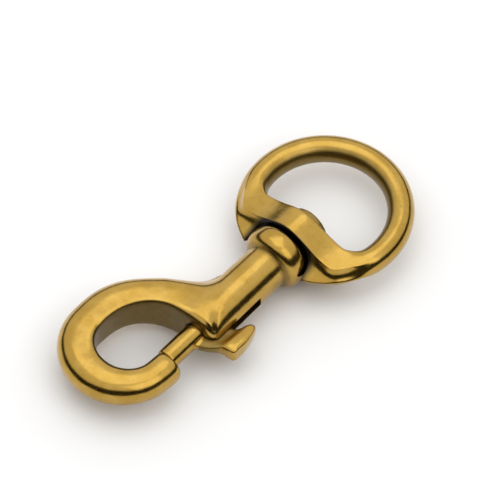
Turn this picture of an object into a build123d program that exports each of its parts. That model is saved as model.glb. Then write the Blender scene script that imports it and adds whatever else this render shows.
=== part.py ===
from build123d import *
import math
import os

# Swivel-eye bolt snap in cast bronze. Millimetres, +Z up.
# The origin is the centre of the round eye, on the swivel axis. +X runs along that axis to the
# far side of the eye. The hook lies in the XY plane, with its bow towards -X and +Y, and the
# thumb lever stands out to -Y.

# ---- Driving dimensions -----------------------------------------------------------------
# Round eye
EYE_BORE = 26.9          # clear width across the eye
EYE_WIRE = 5.9           # thickness of the ring
BRIDGE_FACE = 6.3        # eye centre to the inner face of the bridge
BRIDGE_DEPTH = 6.1       # bridge along the axis, inner face to cup floor
BRIDGE_EDGE = 5.2        # height of the bridge where it joins the ring
BRIDGE_INSET = 0.4       # bridge's outer side inside the ring's outline
HUB_HEIGHT = 13.6        # height of the hub over the swivel axis
HUB_SPREAD = 7.4         # half width of the hub's swell along the bridge

# Collar and barrel
SWIVEL_GAP = 0.9         # end play gap between collar and cup floor
CUP_GAP = 0.9            # radial gap between collar and cup wall
COLLAR_D = 14.7
COLLAR_LENGTH = 5.8
BARREL_REAR_D = 10.3
BARREL_MOUTH_D = 10.9
MOUTH_EDGE = 0.7         # rounding of the barrel's mouth
BORE_D = 5.2
BORE_FLOOR = 1.2         # metal between the bore and the collar

# Hook
GATE_LENGTH = 9.5        # mouth to hook tip
BOW_OUTER_R = 14.2       # outer outline of the bow
BOW_WIDTH = 8.3
BOW_HEIGHT = 8.0
BOW_SETBACK = 3.5        # bow centre beyond the tip face
BOW_EDGE = 2.9           # inner edge rounding round the bow
TIP_WIDTH = 6.8
TIP_HEIGHT = 7.2
TIP_BELOW = 5.1          # lowest side of the hook arm below the swivel axis
TIP_ROUND = 1.4          # rounding of the tip's end
THROAT_EDGE = 0.9        # inner edge rounding at the throat
THROAT_R = 11.0          # inner corner between bow and mouth
SHOULDER_LEAD = 2.8      # bow centre to the start of the shoulder's outer arc
SHOULDER_R = 16.3        # that arc, from the top of the bow to the diagonal
SHOULDER_TURN = 53.0     # how far that arc turns
SHOULDER_FOOT = 8.0      # mouth to the foot of the diagonal
FOOT_RISE = 3.8          # foot of the diagonal above the barrel's side

# Sliding bolt and thumb lever
BOLT_RUN = 0.08          # radial clearance of the bolt in the bore
NOSE_GAP = 0.1           # bolt nose to hook tip, at rest
NOSE_SHOWS = 0.4         # nose in front of the mouth with the bolt drawn back
NOSE_BREAK = 0.5
BOLT_SHOULDER = 0.4      # bolt shoulder behind the web
LEVER_WEB = 2.2
LEVER_SIDE_GAP = 0.3
LEVER_REAR = 15.6        # nose to rear edge of the web
LEVER_FOOT = 9.5         # web along the bolt
PAD_CLEAR = 1.8          # barrel side to the pad
PAD_DEPTH = 3.4          # pad outwards
PAD_FRONT = 5.8          # pad in front of the web's rear edge
PAD_TAIL = 3.4           # pad behind it
PAD_HEIGHT = 4.2
PAD_ROUND = 0.35

# Rivet
RIVET_D = 3.6
RIVET_RUN = 0.08         # radial clearance of the rivet in the collar
HEAD_GAP = 0.15          # radial clearance of the rivet's head in the bore
RIVET_HEAD_LENGTH = 1.4
RIVET_END_PLAY = 0.3
PEEN_D = 9.2
PEEN_HEIGHT = 1.8

# Spring
SPRING_WIRE = 0.5
SPRING_GAP = 0.35        # radial clearance in the bore and round the bolt's tail
SPRING_TURNS = 7
SPRING_SHUT = 4.9        # room for the spring with the bolt drawn back
SPRING_END_GAP = 0.05

# ---- Places along the swivel axis -------------------------------------------------------
ring_r = (EYE_BORE + EYE_WIRE) / 2
ring_outer = ring_r + EYE_WIRE / 2
cup_floor_x = -BRIDGE_FACE - BRIDGE_DEPTH
collar_rear_x = cup_floor_x - SWIVEL_GAP
collar_front_x = collar_rear_x - COLLAR_LENGTH
bore_floor_x = collar_front_x - BORE_FLOOR
bolt_travel = GATE_LENGTH - NOSE_GAP - NOSE_SHOWS
head_x = bore_floor_x - RIVET_END_PLAY
spring_rear_x = head_x - RIVET_HEAD_LENGTH
bolt_shoulder_x = spring_rear_x - SPRING_SHUT - bolt_travel
web_rear_x = bolt_shoulder_x - BOLT_SHOULDER
nose_x = web_rear_x - LEVER_REAR
tip_x = nose_x - NOSE_GAP
mouth_x = tip_x + GATE_LENGTH
bow_x = tip_x - BOW_SETBACK
bow_y = BOW_OUTER_R - TIP_BELOW
slot_rear_x = web_rear_x + bolt_travel + LEVER_SIDE_GAP

# ---- Diameters that follow ----------------------------------------------------------------
barrel_r = BARREL_MOUTH_D / 2
bolt_d = BORE_D - 2 * BOLT_RUN
head_d = BORE_D - 2 * HEAD_GAP
spring_d = BORE_D - 2 * SPRING_GAP
tail_d = spring_d - 2 * SPRING_WIRE - 2 * SPRING_GAP


def along_x(profile):
    """Turn a closed outline of (x, radius) corners about the swivel axis."""
    face = make_face(Polyline(*profile, close=True))
    return revolve(face, axis=Axis.X)


def rod_between(start_x, end_x, diameter):
    """Round rod on the swivel axis."""
    length = end_x - start_x
    return Pos(start_x + length / 2, 0, 0) * Rot(0, 90, 0) * Cylinder(diameter / 2, length)


def on_arc(centre, radius, angle):
    """Plan point on an arc."""
    turn = math.radians(angle)
    return (centre[0] + radius * math.cos(turn), centre[1] + radius * math.sin(turn))


def rounded_section(inner, outer, height, inner_edge):
    """Upright section from an inner to an outer plan point: its outer side is almost a half
    round, its inner side is flat with rounded edges."""
    reach = math.hypot(outer[0] - inner[0], outer[1] - inner[1])
    width_dir = ((outer[0] - inner[0]) / reach, (outer[1] - inner[1]) / reach, 0)
    normal = (width_dir[1], -width_dir[0], 0)
    plane = Plane(origin=(inner[0], inner[1], 0), x_dir=width_dir, z_dir=normal)
    half = height / 2
    face = make_face(Polyline((0, -half), (reach, -half), (reach, half), (0, half), close=True))
    face = fillet(face.vertices().filter_by(lambda v: v.X < reach / 2), inner_edge)
    outer_edge = min(0.46 * height, 0.98 * reach - inner_edge)
    face = fillet(face.vertices().filter_by(lambda v: v.X > reach - 1e-6), outer_edge)
    return plane * face


def bow_sections():
    """Sections from the hook's tip round the bow to its top."""
    end_top = TIP_WIDTH - TIP_BELOW - 0.5 * TIP_ROUND
    end_bottom = TIP_ROUND - TIP_BELOW
    end_height = TIP_HEIGHT - 1.4 * TIP_ROUND
    back_x = tip_x - TIP_ROUND
    sections = [
        rounded_section((tip_x, end_top), (tip_x, end_bottom), end_height, 0.8 * BOW_EDGE),
        rounded_section((back_x, TIP_WIDTH - TIP_BELOW), (back_x, -TIP_BELOW), TIP_HEIGHT,
                        BOW_EDGE),
    ]
    steps = 6
    for step in range(steps + 1):
        share = step / steps
        angle = 270 - 180 * share
        grow = min(1, 2 * share)
        width = TIP_WIDTH + (BOW_WIDTH - TIP_WIDTH) * grow
        height = TIP_HEIGHT + (BOW_HEIGHT - TIP_HEIGHT) * grow
        edge = BOW_EDGE + (THROAT_EDGE - BOW_EDGE) * max(0, 2 * share - 1)
        outer = on_arc((bow_x, bow_y), BOW_OUTER_R, angle)
        inner = on_arc((bow_x, bow_y), BOW_OUTER_R - width, angle)
        sections.append(rounded_section(inner, outer, height, edge))
    return sections


def shoulder_sections():
    """Sections from the top of the bow down the shoulder and into the barrel."""
    top = bow_y + BOW_OUTER_R
    outer_centre = (bow_x + SHOULDER_LEAD, top - SHOULDER_R)
    inner_centre = (mouth_x - THROAT_R, top - BOW_WIDTH - THROAT_R)
    crest_angle = 90 - SHOULDER_TURN
    crest = on_arc(outer_centre, SHOULDER_R, crest_angle)
    foot = (mouth_x + SHOULDER_FOOT, barrel_r + FOOT_RISE)
    halfway = ((crest[0] + foot[0]) / 2, (crest[1] + foot[1]) / 2)
    soft_edge = 0.55 * barrel_r
    # Inner point, outer point, how far the height has grown to the barrel's, inner edge.
    spans = [
        (on_arc(inner_centre, THROAT_R, 73), on_arc(outer_centre, SHOULDER_R, 75), 0.05,
         THROAT_EDGE),
        (on_arc(inner_centre, THROAT_R, 52), on_arc(outer_centre, SHOULDER_R, 57), 0.2,
         THROAT_EDGE),
        (on_arc(inner_centre, THROAT_R, 30), crest, 0.45, THROAT_EDGE),
        (on_arc(inner_centre, THROAT_R, 8), halfway, 0.65, THROAT_EDGE),
        ((mouth_x, 0.15 * barrel_r), foot, 0.75, THROAT_EDGE),
        ((mouth_x + 0.2 * barrel_r, -0.45 * barrel_r),
         (foot[0] + 3.2, barrel_r + 0.35 * FOOT_RISE), 0.7, soft_edge),
        ((mouth_x + 0.9 * barrel_r, -0.6 * barrel_r), (foot[0] + 7, 0.9 * barrel_r), 0.2,
         soft_edge),
    ]
    sections = []
    for inner, outer, swell, edge in spans:
        height = BOW_HEIGHT + (BARREL_MOUTH_D - BOW_HEIGHT) * swell
        sections.append(rounded_section(inner, outer, height, edge))
    return sections


def hook_body():
    """Hook, shoulder, barrel and collar in one casting, bored and slotted for the bolt."""
    hook = loft(bow_sections() + shoulder_sections())
    collar_middle_x = (collar_front_x + collar_rear_x) / 2
    barrel = along_x([
        (mouth_x, 0),
        (mouth_x, barrel_r),
        (collar_middle_x, BARREL_REAR_D / 2),
        (collar_middle_x, 0),
    ])
    mouth = barrel.edges().filter_by(GeomType.CIRCLE).sort_by(Axis.X)[0]
    barrel = fillet(mouth, MOUTH_EDGE)
    bead = rod_between(collar_front_x, collar_rear_x, COLLAR_D)
    bead = fillet(bead.edges().filter_by(GeomType.CIRCLE), COLLAR_LENGTH * 0.4)
    bore = rod_between(tip_x, bore_floor_x, BORE_D)
    rivet_hole = rod_between(bore_floor_x - 1, collar_rear_x + 1, RIVET_D + 2 * RIVET_RUN)
    slot_width = LEVER_WEB + 2 * LEVER_SIDE_GAP
    slot_length = slot_rear_x - tip_x
    slot = Pos(tip_x + slot_length / 2, -barrel_r, 0) * Box(slot_length, 2 * barrel_r, slot_width)
    gate = Pos(tip_x + GATE_LENGTH / 2, -barrel_r, 0)
    clear = gate * Box(GATE_LENGTH, 2 * barrel_r, 2 * BARREL_MOUTH_D)
    bow = hook - bore - clear
    return bow + barrel + bead - bore - rivet_hole - slot


def slide_bolt():
    """Round bolt with its thumb lever, one casting."""
    r = bolt_d / 2
    tail_x = spring_rear_x - bolt_travel - 2 * SPRING_GAP
    rod = along_x([
        (nose_x, 0),
        (nose_x, r - NOSE_BREAK),
        (nose_x + NOSE_BREAK, r),
        (bolt_shoulder_x, r),
        (bolt_shoulder_x, tail_d / 2),
        (tail_x, tail_d / 2),
        (tail_x, 0),
    ])
    pad_inner = -(barrel_r + PAD_CLEAR)
    pad_outer = pad_inner - PAD_DEPTH
    front_x = web_rear_x - LEVER_FOOT
    web = Polyline(
        (front_x, -0.5 * r),
        (front_x + 1.0, -1.6 * r),
        (web_rear_x - 0.7 * PAD_FRONT, pad_inner - 0.6 * PAD_DEPTH),
        (web_rear_x, pad_inner - 0.4 * PAD_DEPTH),
        (web_rear_x, -0.5 * r),
        close=True)
    blade = extrude(make_face(web), LEVER_WEB / 2, both=True)
    outline = Polyline(
        (web_rear_x - PAD_FRONT, pad_inner - 0.55 * PAD_DEPTH),
        (web_rear_x - 0.6 * PAD_FRONT, pad_outer),
        (web_rear_x - 0.1 * PAD_FRONT, pad_outer + 0.06 * PAD_DEPTH),
        (web_rear_x + PAD_TAIL, pad_inner - 0.35 * PAD_DEPTH),
        (web_rear_x + PAD_TAIL, pad_inner - 0.15 * PAD_DEPTH),
        (web_rear_x, pad_inner),
        (web_rear_x - 0.5 * PAD_FRONT, pad_inner - 0.2 * PAD_DEPTH),
        close=True)
    pad = extrude(make_face(outline), PAD_HEIGHT / 2, both=True)
    flats = pad.faces().filter_by(Axis.Z)
    pad = fillet(flats.edges(), PAD_ROUND)
    return rod + blade + pad


def swivel_eye():
    """Round eye with its bridge and hub."""
    ring = Torus(ring_r, EYE_WIRE / 2)
    half = BRIDGE_EDGE / 2
    disc_r = ring_outer - BRIDGE_INSET
    rim = [(0, HUB_HEIGHT), (ring_r - 1, HUB_HEIGHT), (disc_r, 0.5 * half)]
    rim += [(x, -z) for x, z in reversed(rim)]
    disc = revolve(Plane.XZ * make_face(Polyline(*rim, close=True)), axis=Axis.Z)
    crown = HUB_HEIGHT / 2
    flank = (HUB_SPREAD, half + 0.08 * crown)
    top = Spline((-ring_outer, half), (-flank[0], flank[1]), (0, crown), flank,
                 (ring_outer, half), tangents=((1, 0), (1, 0)))
    bottom = top.mirror(Plane.XZ)
    sides = [
        Line((-ring_outer, -half), (-ring_outer, half)),
        Line((ring_outer, half), (ring_outer, -half)),
    ]
    swell = make_face([top, bottom] + sides)
    plane = Plane(origin=(-BRIDGE_FACE, 0, 0), x_dir=(0, 1, 0), z_dir=(1, 0, 0))
    bridge = extrude(plane * swell, BRIDGE_FACE - ring_outer) & disc
    cup = rod_between(-2 * ring_outer, cup_floor_x, COLLAR_D + 2 * CUP_GAP)
    hole = rod_between(cup_floor_x - 1, 0, RIVET_D)
    return ring + bridge - cup - hole


def swivel_rivet():
    """Headed rivet, peened over inside the eye."""
    peen_x = -BRIDGE_FACE
    return along_x([
        (spring_rear_x, 0),
        (spring_rear_x, head_d / 2),
        (head_x, head_d / 2),
        (head_x, RIVET_D / 2),
        (peen_x, RIVET_D / 2),
        (peen_x, PEEN_D / 2),
        (peen_x + PEEN_HEIGHT / 2, PEEN_D / 2),
        (peen_x + PEEN_HEIGHT, PEEN_D / 4),
        (peen_x + PEEN_HEIGHT, 0),
    ])


def bolt_spring():
    """Compression spring, at its length with the bolt shut."""
    front = bolt_shoulder_x + SPRING_END_GAP + SPRING_WIRE / 2
    rear = spring_rear_x - SPRING_END_GAP - SPRING_WIRE / 2
    mean_r = (spring_d - SPRING_WIRE) / 2
    length = rear - front
    path = Helix(pitch=length / SPRING_TURNS, height=length, radius=mean_r)
    section = Plane(origin=path @ 0, z_dir=path % 0) * Circle(SPRING_WIRE / 2)
    return Pos(front, 0, 0) * Rot(0, 90, 0) * sweep(section, path=path)


os.makedirs("parts", exist_ok=True)
pieces = {
    "hook_body": hook_body(),
    "slide_bolt": slide_bolt(),
    "bolt_spring": bolt_spring(),
    "swivel_rivet": swivel_rivet(),
    "swivel_eye": swivel_eye(),
}
for name, piece in pieces.items():
    export_step(piece, f"parts/{name}.step")
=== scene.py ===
import logging
import math
from dataclasses import dataclass, field
from enum import Enum
from typing import Callable, Optional, Sequence, Union

import bmesh
import bpy
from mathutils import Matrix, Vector

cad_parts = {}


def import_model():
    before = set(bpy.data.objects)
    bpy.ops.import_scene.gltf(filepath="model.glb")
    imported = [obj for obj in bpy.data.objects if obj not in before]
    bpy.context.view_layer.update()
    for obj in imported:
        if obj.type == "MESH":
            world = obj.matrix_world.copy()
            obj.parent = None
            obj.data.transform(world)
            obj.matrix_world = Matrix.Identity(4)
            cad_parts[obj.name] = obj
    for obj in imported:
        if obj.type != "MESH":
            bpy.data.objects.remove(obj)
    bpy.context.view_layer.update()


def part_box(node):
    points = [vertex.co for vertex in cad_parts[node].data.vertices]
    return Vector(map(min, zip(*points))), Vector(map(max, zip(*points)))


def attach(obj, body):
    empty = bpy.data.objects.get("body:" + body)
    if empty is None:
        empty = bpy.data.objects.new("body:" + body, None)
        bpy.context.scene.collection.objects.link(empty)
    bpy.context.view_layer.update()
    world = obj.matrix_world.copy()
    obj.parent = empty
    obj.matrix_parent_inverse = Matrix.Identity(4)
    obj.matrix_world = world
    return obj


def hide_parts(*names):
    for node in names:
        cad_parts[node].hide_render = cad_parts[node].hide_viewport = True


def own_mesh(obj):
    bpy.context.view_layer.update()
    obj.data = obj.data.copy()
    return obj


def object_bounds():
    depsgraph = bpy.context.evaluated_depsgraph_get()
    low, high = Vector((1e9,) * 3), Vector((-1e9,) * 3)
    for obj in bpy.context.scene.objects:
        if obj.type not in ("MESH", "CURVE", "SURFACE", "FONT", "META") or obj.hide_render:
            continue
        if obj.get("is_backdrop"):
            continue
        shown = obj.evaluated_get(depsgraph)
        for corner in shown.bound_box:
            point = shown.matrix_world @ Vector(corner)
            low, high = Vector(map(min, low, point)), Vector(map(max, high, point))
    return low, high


LOG = logging.getLogger("bolt_snap")
MM = 0.001
FULL_TURN = 2 * math.pi
BORE_SIDES = 96
HOLE_SIDES = 64
CAP_RIM = 0.35 * MM
FLAT_SQUARE = 7.0
NEAR_ZERO = 1e-9

Point = tuple[float, float]
Colour = tuple[float, float, float]
# Gives a point's dullness and painted shade, from its place and the way it faces.
DullnessAndShade = Callable[[Vector, Vector], float]


# ---- Small helpers ---------------------------------------------------------------------------


def pick_only(piece: bpy.types.Object) -> None:
    """Select one object alone and make it active.

    Args:
        piece: the object that the next operators act on.
    """
    if bpy.context.mode != "OBJECT":
        bpy.ops.object.mode_set(mode="OBJECT")
    bpy.ops.object.select_all(action="DESELECT")
    piece.select_set(True)
    bpy.context.view_layer.objects.active = piece


def drop(piece: bpy.types.Object) -> None:
    """Delete a tool object that has done its work."""
    bpy.data.objects.remove(piece, do_unlink=True)


def apply_all(piece: bpy.types.Object) -> None:
    """Apply every modifier of a piece, from the top of the stack.

    Args:
        piece: the piece whose modifiers are applied.
    """
    pick_only(piece)
    for modifier in list(piece.modifiers):
        bpy.ops.object.modifier_apply(modifier=modifier.name)


def cut(piece: bpy.types.Object, tool: bpy.types.Object) -> None:
    """Take one solid out of another and delete the tool.

    Args:
        piece: the solid that is cut.
        tool: the solid that is taken away.
    """
    modifier = piece.modifiers.new("cut", "BOOLEAN")
    modifier.operation = "DIFFERENCE"
    modifier.solver = "EXACT"
    modifier.object = tool
    apply_all(piece)
    drop(tool)


def weld(piece: bpy.types.Object, other: bpy.types.Object) -> None:
    """Join another solid to a piece as one body and delete it.

    Args:
        piece: the solid that grows.
        other: the solid that is added to it.
    """
    modifier = piece.modifiers.new("weld", "BOOLEAN")
    modifier.operation = "UNION"
    modifier.solver = "EXACT"
    modifier.object = other
    apply_all(piece)
    drop(other)


def shade(piece: bpy.types.Object, angle: float = 40.0) -> None:
    """Shade a piece smooth, with edges over an angle left crisp.

    Args:
        piece: the object to shade.
        angle: the angle in degrees.
    """
    pick_only(piece)
    bpy.ops.object.shade_smooth_by_angle(angle=math.radians(angle))


def relax(piece: bpy.types.Object, chosen: Callable[[Vector], bool], repeats: int) -> None:
    """Smooth the points of part of a piece, so that its forms flow together.

    Args:
        piece: the piece to smooth.
        chosen: tells whether a point is smoothed, from its place.
        repeats: how many times it is smoothed.
    """
    pick_only(piece)
    bpy.ops.object.mode_set(mode="EDIT")
    mesh = bmesh.from_edit_mesh(piece.data)
    bpy.ops.mesh.select_all(action="DESELECT")
    for vert in mesh.verts:
        vert.select_set(chosen(vert.co))
    bmesh.update_edit_mesh(piece.data)
    bpy.ops.mesh.vertices_smooth(factor=0.5, repeat=repeats)
    bpy.ops.object.mode_set(mode="OBJECT")


def rod(start: float, end: float, diameter: float,
        sides: int = BORE_SIDES) -> bpy.types.Object:
    """Make a plain cylinder along the swivel axis, to cut with.

    Args:
        start: its lowest X.
        end: its highest X.
        diameter: its diameter.
        sides: how many flats go round it.

    Returns:
        The cylinder, with its place in its mesh.
    """
    bpy.ops.mesh.primitive_cylinder_add(
        vertices=sides, radius=diameter / 2, depth=end - start,
        location=((start + end) / 2, 0, 0), rotation=(0, math.pi / 2, 0))
    piece = bpy.context.active_object
    bpy.ops.object.transform_apply(location=True, rotation=True, scale=True)
    return piece


def block(low: Sequence[float], high: Sequence[float]) -> bpy.types.Object:
    """Make a plain block between two corners, to cut with.

    Args:
        low: the corner with the lowest X, Y and Z.
        high: the opposite corner.

    Returns:
        The block, with its place in its mesh.
    """
    size = [b - a for a, b in zip(low, high)]
    middle = [(a + b) / 2 for a, b in zip(low, high)]
    bpy.ops.mesh.primitive_cube_add(size=1, location=middle)
    piece = bpy.context.active_object
    piece.scale = size
    bpy.ops.object.transform_apply(location=True, rotation=True, scale=True)
    return piece


def lean(value: float, power: float) -> float:
    """Raise the size of a cosine or sine to a power, for squarish rounds."""
    return abs(value) ** power


def ramp(value: float, low: float, high: float) -> float:
    """Smooth step from 0 at low to 1 at high."""
    share = min(1.0, max(0.0, (value - low) / (high - low)))
    return share * share * (3 - 2 * share)


def flow_max(a: float, b: float, reach: float) -> float:
    """Soft maximum of two heights, so that one form flows into the other.

    Args:
        a: the first height.
        b: the second height.
        reach: how far apart the heights may be and still blend.

    Returns:
        The blended height, or 0 where neither form stands up.
    """
    near = max(0.0, reach - abs(a - b)) / reach
    return max(a, b) + near * near * reach / 4 if max(a, b) > 0 else 0.0


def round_section(x: float, radius: float, sides: int) -> list[Vector]:
    """Draw a round section across the swivel axis.

    Args:
        x: its place along the axis.
        radius: its radius.
        sides: how many points it has.

    Returns:
        Its points, in order round it.
    """
    turns = [FULL_TURN * step / sides for step in range(sides)]
    return [Vector((x, radius * math.cos(turn), radius * math.sin(turn))) for turn in turns]


class SkinLoft:
    """A skin drawn section by section, each extruded from the one before."""

    def __init__(self, name: str, sides: int) -> None:
        """Add the circle that the first section is shaped from.

        Args:
            name: the piece's name.
            sides: how many points each section has.
        """
        bpy.ops.object.select_all(action="DESELECT")
        bpy.ops.mesh.primitive_circle_add(vertices=sides, radius=MM)
        self.piece = bpy.context.active_object
        self.piece.name = name
        self.sides = sides
        self.rings: list[list[int]] = []

    def _mesh(self) -> bmesh.types.BMesh:
        """Give the edit-mode mesh, with its table of points fresh.

        Returns:
            The mesh, which lasts until the next operator changes it.
        """
        mesh = bmesh.from_edit_mesh(self.piece.data)
        mesh.verts.ensure_lookup_table()
        return mesh

    def add(self, section: Sequence[Vector]) -> None:
        """Extrude the last section's edge and shape it to the next one.

        Args:
            section: the section's points, in order round it.
        """
        if not self.rings:
            pick_only(self.piece)
            bpy.ops.object.mode_set(mode="EDIT")
            mesh = self._mesh()
            ring = [v.index for v in mesh.verts]
        else:
            mesh = self._mesh()
            last = self.rings[-1]
            bpy.ops.mesh.select_all(action="DESELECT")
            for index in last:
                mesh.verts[index].select_set(True)
            mesh.select_flush(True)
            bmesh.update_edit_mesh(self.piece.data)
            bpy.ops.mesh.extrude_edges_move()
            mesh = self._mesh()
            ring = []
            for index in last:
                new = [e.other_vert(mesh.verts[index]) for e in mesh.verts[index].link_edges]
                ring.append(next(v.index for v in new if v.select))
        for index, point in zip(ring, section):
            mesh.verts[index].co = point
        self.rings.append(ring)
        bmesh.update_edit_mesh(self.piece.data)

    def _select_rings(self, rings: Sequence[Sequence[int]]) -> None:
        """Select the points of some sections, and nothing else.

        Args:
            rings: the sections, each as the numbers of its points.
        """
        mesh = self._mesh()
        bpy.ops.mesh.select_all(action="DESELECT")
        for ring in rings:
            for index in ring:
                mesh.verts[index].select_set(True)
        mesh.select_flush(True)
        bmesh.update_edit_mesh(self.piece.data)

    def crease(self, column: int, stations: Sequence[int], sharpness: float) -> None:
        """Keep an edge along the skin crisp when it is smoothed.

        Args:
            column: which point of each section the edge runs through.
            stations: the sections it runs along, in order.
            sharpness: from 0, smooth, to 1, a knife edge.
        """
        mesh = self._mesh()
        bpy.ops.mesh.select_all(action="DESELECT")
        line = {self.rings[s % len(self.rings)][column] for s in stations}
        for edge in mesh.edges:
            edge.select_set(all(v.index in line for v in edge.verts))
        bmesh.update_edit_mesh(self.piece.data)
        bpy.ops.transform.edge_crease(value=sharpness)

    def cap_ends(self, rim: float = CAP_RIM) -> None:
        """Close both ends with flat faces, inset twice so that their rims stay round.

        Args:
            rim: how wide each inset is, under half of the end's radius.
        """
        for end in (self.rings[0], self.rings[-1]):
            self._select_rings([end])
            bpy.ops.mesh.edge_face_add()
            for _ in range(2):
                bpy.ops.mesh.inset(thickness=rim, depth=0)

    def close(self) -> None:
        """Bridge the last section back to the first."""
        self._select_rings([self.rings[0], self.rings[-1]])
        bpy.ops.mesh.bridge_edge_loops()

    def finish(self, levels: int) -> bpy.types.Object:
        """Set the faces outwards and smooth the skin.

        Args:
            levels: subdivision levels that are applied.

        Returns:
            The closed, smoothed piece.
        """
        bpy.ops.mesh.select_all(action="SELECT")
        bpy.ops.mesh.normals_make_consistent(inside=False)
        bpy.ops.object.mode_set(mode="OBJECT")
        if levels:
            modifier = self.piece.modifiers.new("smooth_skin", "SUBSURF")
            modifier.levels = levels
            modifier.render_levels = levels
            apply_all(self.piece)
        return self.piece


# ---- Finishes --------------------------------------------------------------------------------


class Wear(Enum):
    """How a brass surface has been worked."""

    POLISHED = "polished"
    PEENED = "peened"


class NodeBoard:
    """A material's node tree, with short ways to add what every finish needs."""

    def __init__(self, name: str, shift: float) -> None:
        """Make the material and its shifted object coordinates.

        Args:
            name: the material's name.
            shift: moves the pattern, so that no two pieces show the same.
        """
        self.material = bpy.data.materials.new(name)
        self.material.use_nodes = True
        self.nodes = self.material.node_tree.nodes
        self.links = self.material.node_tree.links
        self.shader = self.nodes["Principled BSDF"]
        place = self.nodes.new("ShaderNodeTexCoord")
        self.place = self.nodes.new("ShaderNodeMapping")
        self.place.inputs["Location"].default_value = (shift, 0.7 * shift, 0.3 * shift)
        self.links.new(place.outputs["Object"], self.place.inputs["Vector"])

    def stretched(self, scale: tuple[float, float, float]) -> bpy.types.NodeSocket:
        """Give the coordinates scaled along each axis, for hairlines.

        Args:
            scale: how much finer a pattern gets along X, Y and Z.

        Returns:
            The scaled coordinates.
        """
        node = self.nodes.new("ShaderNodeMapping")
        node.inputs["Scale"].default_value = scale
        self.links.new(self.place.outputs["Vector"], node.inputs["Vector"])
        return node.outputs["Vector"]

    def noise(self, scale: float, detail: float, rough: float = 0.55,
              place: Optional[bpy.types.NodeSocket] = None) -> bpy.types.NodeSocket:
        """Add a noise pattern.

        Args:
            scale: how fine it is, in cycles a metre.
            detail: how many finer layers it has.
            rough: how strong those layers are.
            place: its coordinates, or the object's.

        Returns:
            The pattern, from 0 to 1.
        """
        node = self.nodes.new("ShaderNodeTexNoise")
        node.inputs["Scale"].default_value = scale
        node.inputs["Detail"].default_value = detail
        node.inputs["Roughness"].default_value = rough
        self.links.new(place or self.place.outputs["Vector"], node.inputs["Vector"])
        return node.outputs[0]

    def spread(self, source: bpy.types.NodeSocket, low: float, high: float, floor: float,
               ceiling: float) -> bpy.types.NodeSocket:
        """Spread part of a pattern's range over new limits.

        Args:
            source: the pattern.
            low: the value that becomes the floor.
            high: the value that becomes the ceiling.
            floor: the lowest value given.
            ceiling: the highest value given.

        Returns:
            The spread pattern.
        """
        node = self.nodes.new("ShaderNodeMapRange")
        for name, value in (("From Min", low), ("From Max", high), ("To Min", floor),
                            ("To Max", ceiling)):
            node.inputs[name].default_value = value
        self.links.new(source, node.inputs["Value"])
        return node.outputs[0]

    def sum(self, *parts: tuple[bpy.types.NodeSocket, float]) -> bpy.types.NodeSocket:
        """Add patterns up.

        Args:
            parts: each pattern with its own weight.

        Returns:
            The weighted sum.
        """
        total = None
        for source, weight in parts:
            node = self.nodes.new("ShaderNodeMath")
            node.operation = "MULTIPLY_ADD"
            node.inputs[1].default_value = weight
            node.inputs[2].default_value = 0.0
            self.links.new(source, node.inputs[0])
            if total is not None:
                self.links.new(total, node.inputs[2])
            total = node.outputs[0]
        return total

    def blend(self, share: bpy.types.NodeSocket, start: Union[Colour, bpy.types.NodeSocket],
              end: Union[Colour, bpy.types.NodeSocket]) -> bpy.types.NodeSocket:
        """Mix two colours by a pattern.

        Args:
            share: the pattern, 0 for the first colour and 1 for the second.
            start: the first colour, plain or a socket.
            end: the second colour, plain or a socket.

        Returns:
            The mixed colour.
        """
        node = self.nodes.new("ShaderNodeMix")
        node.data_type = "RGBA"
        self.links.new(share, node.inputs["Factor"])
        for name, colour in (("A", start), ("B", end)):
            socket = next(i for i in node.inputs if i.name == name and i.type == "RGBA")
            if isinstance(colour, bpy.types.NodeSocket):
                self.links.new(colour, socket)
            else:
                socket.default_value = (*colour, 1)
        return next(o for o in node.outputs if o.type == "RGBA")

    def dullness_and_shade(self, patch_scale: float = 700) -> bpy.types.NodeSocket:
        """Give the piece's dullness and painted shade, read from its own attribute and broken up by
        a noise.

        Args:
            patch_scale: how fine the noise is, in cycles a metre.

        Returns:
            The dullness and painted shade, from 0 for polished to 1 for black painted shade.
        """
        node = self.nodes.new("ShaderNodeAttribute")
        node.attribute_name = "dull_and_shade"
        patchy = self.noise(patch_scale, 4, 0.6)
        return self.spread(self.sum((node.outputs["Fac"], 1.0), (patchy, 0.16)),
                           0.08, 1.02, 0.0, 1.0)

    def bump(self, height: bpy.types.NodeSocket, depth: float, strength: float) -> None:
        """Raise the surface by a pattern.

        Args:
            height: the pattern.
            depth: how far it raises the surface, in metres.
            strength: how strongly it shows, from 0 to 1.
        """
        node = self.nodes.new("ShaderNodeBump")
        node.inputs["Strength"].default_value = strength
        node.inputs["Distance"].default_value = depth
        self.links.new(height, node.inputs["Height"])
        self.links.new(node.outputs["Normal"], self.shader.inputs["Normal"])


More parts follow.
